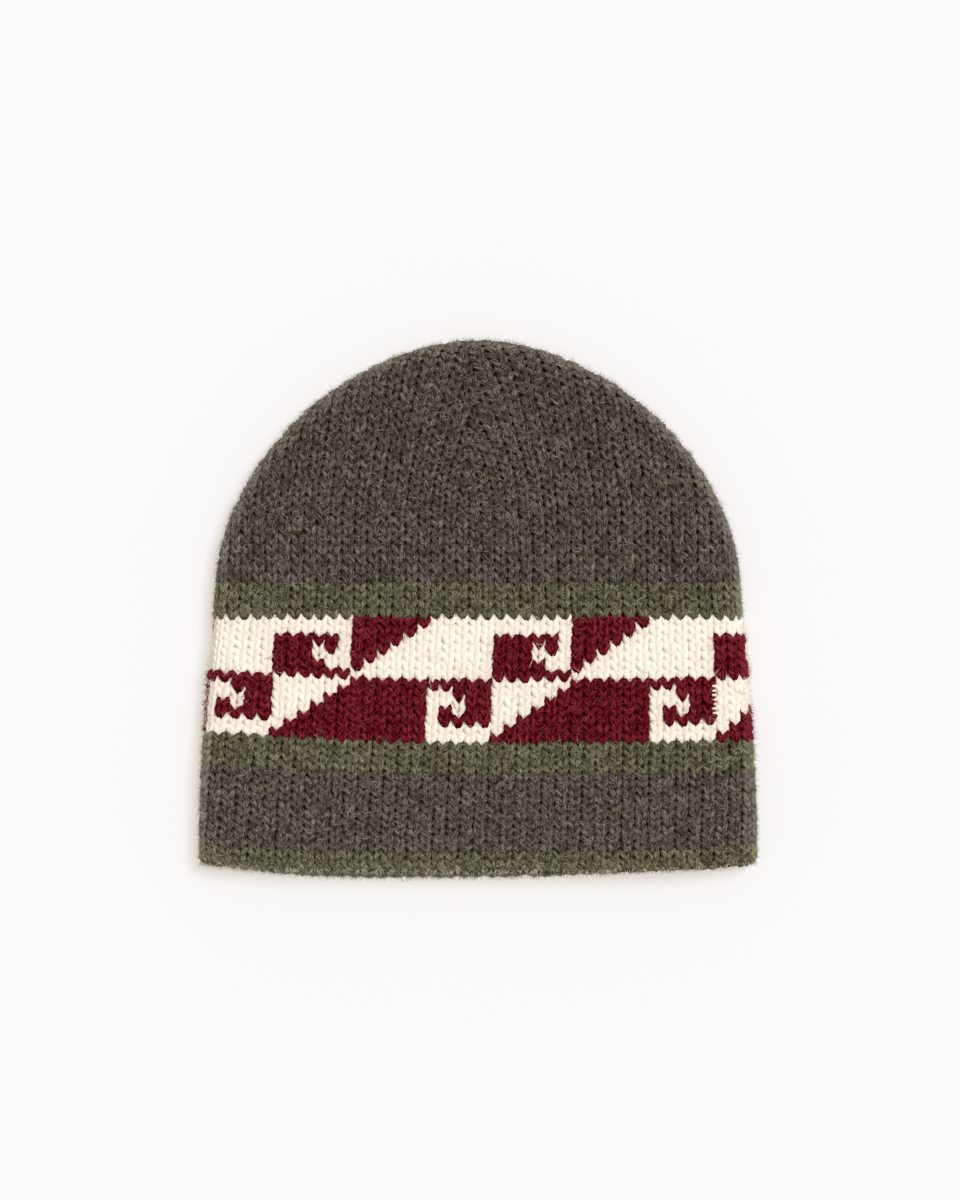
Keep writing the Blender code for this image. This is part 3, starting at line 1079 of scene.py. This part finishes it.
# The mouth's edge: places to a stitch, and the rows that it lies on and hangs towards
EDGE_STEPS = 8
EDGE_ROW = 0.14
BELOW_EDGE_ROW = -0.5
turns = np.arange(STITCHES_ROUND * EDGE_STEPS) / EDGE_STEPS
mouth, mouth_out = body_point(turns, np.full(len(turns), EDGE_ROW))
down = unit(body_point(turns, np.full(len(turns), BELOW_EDGE_ROW))[0] - mouth)
ring = np.arange(len(turns))
edge = grow("hem_edge", mouth, {"out": mouth_out, "down": down, "turns": turns}, EDGE, {"Yarn": EDGE_OLIVE_PAINTED_LIGHT},
            keep=("yarn",), edges=np.stack([ring, np.roll(ring, -1)], -1))
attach(edge, "root")

# Hairs that hang from the mouth's edge: how far they start below it and off it, spread and rise
EDGE_HAIRS = 6500
EDGE_HAIR_DROP = 0.0006
EDGE_HAIR_ROOTS = (-0.0016, 0.001)
EDGE_HAIR_SPREAD = (-1.1, 1.1)
EDGE_HAIR_LIFT = (-0.3, 0.6)
EDGE_HAIR_LENGTHS = (0.0008, 0.0032)


def shed_edge():
    """A haze of olive hairs along the mouth."""
    hairs = rng.integers(0, len(turns), EDGE_HAIRS)
    hang, out = down[hairs], mouth_out[hairs]
    aside = unit(np.cross(hang, out))
    spread = rng.uniform(*EDGE_HAIR_SPREAD, (EDGE_HAIRS, 1))
    lift = rng.uniform(*EDGE_HAIR_LIFT, (EDGE_HAIRS, 1))
    root = mouth[hairs] + hang * EDGE_HAIR_DROP + out * rng.uniform(*EDGE_HAIR_ROOTS, (EDGE_HAIRS, 1))
    haze_ends["olive"].append({"place": root, "way": unit(hang + aside * spread + out * lift),
                               "spin": rng.uniform(0, 2 * math.pi, EDGE_HAIRS),
                               "length": rng.uniform(*EDGE_HAIR_LENGTHS, EDGE_HAIRS)})


shed_edge()

# Where the rounds of the band begin, short ends of cream lie across the burgundy
JOIN_ENDS = 7
JOIN_FROM_COLUMN = 34.06
JOIN_TO_COLUMN = 33.06
JOIN_FIRST_ROW = BAND_FIRST_ROW + 3.1
JOIN_ROW_STEP = 0.5
JOIN_INSET = 0.0006
JOIN_LENGTHS = (0.0016, 0.0021)
JOIN_YARN = {"Fibre radius": 0.00118, "Bend": 0.05, "Taper": 0.35, "Segments": 4, "Sides": 6}
join_rows = JOIN_FIRST_ROW + np.arange(JOIN_ENDS) * JOIN_ROW_STEP
join_start = body_point(np.full(JOIN_ENDS, JOIN_FROM_COLUMN), join_rows, JOIN_INSET)[0]
join_end = body_point(np.full(JOIN_ENDS, JOIN_TO_COLUMN), join_rows, JOIN_INSET)[0]
floats = {"way": unit(join_end - join_start), "spin": rng.uniform(0, 2 * math.pi, JOIN_ENDS),
          "length": rng.uniform(*JOIN_LENGTHS, JOIN_ENDS)}
joins = grow("fret_join", join_start, floats, FIBRES, {"Yarn": CREAM, **JOIN_YARN})
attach(joins, "root")

for ends, suffix, stuff, settings in ((loose_ends, "_fibres", LOOSE, {"Fibre radius": 0.00009}),
                                      (haze_ends, "_haze", HAZE, {"Fibre radius": 0.00013, "Segments": 1})):
    for yarn, lots in ends.items():
        joined = {key: np.concatenate([lot[key] for lot in lots]) for key in lots[0]}
        piece = grow(yarn + suffix, joined["place"], joined, FIBRES, {"Yarn": stuff[yarn], **settings})
        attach(piece, "root")
        yarn + "_wool"


# Floor, light and camera

FLOOR_REACH = 6
FLOOR_COLOUR = (0.340, 0.375, 0.425)
FLOOR_GLOW = (1.0, 0.900, 0.773, 1)
FLOOR_GLOW_STRENGTH = 0.578
ROOM_LIGHT = 0.60
SUN_STRENGTH = 2.15
SUN_WIDTH = math.radians(26)
SUN_FROM = (0.58, 0.46, 1.15)
LENS = 85
SENSOR_WIDTH = 36
CAMERA_PLACE = (0.00082, 0.00349, 1.1705)


def make_floor():
    """A wide pale floor that glows a little, so that it stays nearly white."""
    mesh = bpy.data.meshes.new("floor")
    corners = ((-1, -1), (1, -1), (1, 1), (-1, 1))
    mesh.from_pydata([(x * FLOOR_REACH, y * FLOOR_REACH, 0) for x, y in corners], [], [(0, 1, 2, 3)])
    floor = bpy.data.objects.new("floor", mesh)
    paper, _, shader = matt("pale_floor", roughness=0.9, gloss=0.0)
    shader.inputs["Base Color"].default_value = (*FLOOR_COLOUR, 1)
    shader.inputs["Emission Color"].default_value = FLOOR_GLOW
    shader.inputs["Emission Strength"].default_value = FLOOR_GLOW_STRENGTH
    floor.data.materials.append(paper)
    bpy.context.scene.collection.objects.link(floor)


def light_room():
    """Even light from all round, and one soft sun from the upper right."""
    world = bpy.data.worlds.new("soft_room")
    world.use_nodes = True
    world.node_tree.nodes["Background"].inputs["Color"].default_value = (1.0, 1.0, 1.0, 1)
    world.node_tree.nodes["Background"].inputs["Strength"].default_value = ROOM_LIGHT
    bpy.context.scene.world = world
    sun = bpy.data.lights.new("key", "SUN")
    sun.energy = SUN_STRENGTH
    sun.angle = SUN_WIDTH
    key = bpy.data.objects.new("key", sun)
    key.rotation_euler = Vector(SUN_FROM).to_track_quat("Z", "Y").to_euler()
    bpy.context.scene.collection.objects.link(key)


def set_camera():
    """Straight above the cap."""
    lens = bpy.data.cameras.new("camera")
    lens.lens = LENS
    lens.sensor_width = SENSOR_WIDTH
    camera = bpy.data.objects.new("camera", lens)
    camera.location = CAMERA_PLACE
    bpy.context.scene.collection.objects.link(camera)
    bpy.context.scene.camera = camera
    bpy.context.scene.view_settings.view_transform = "Standard"


make_floor()
light_room()
set_camera()
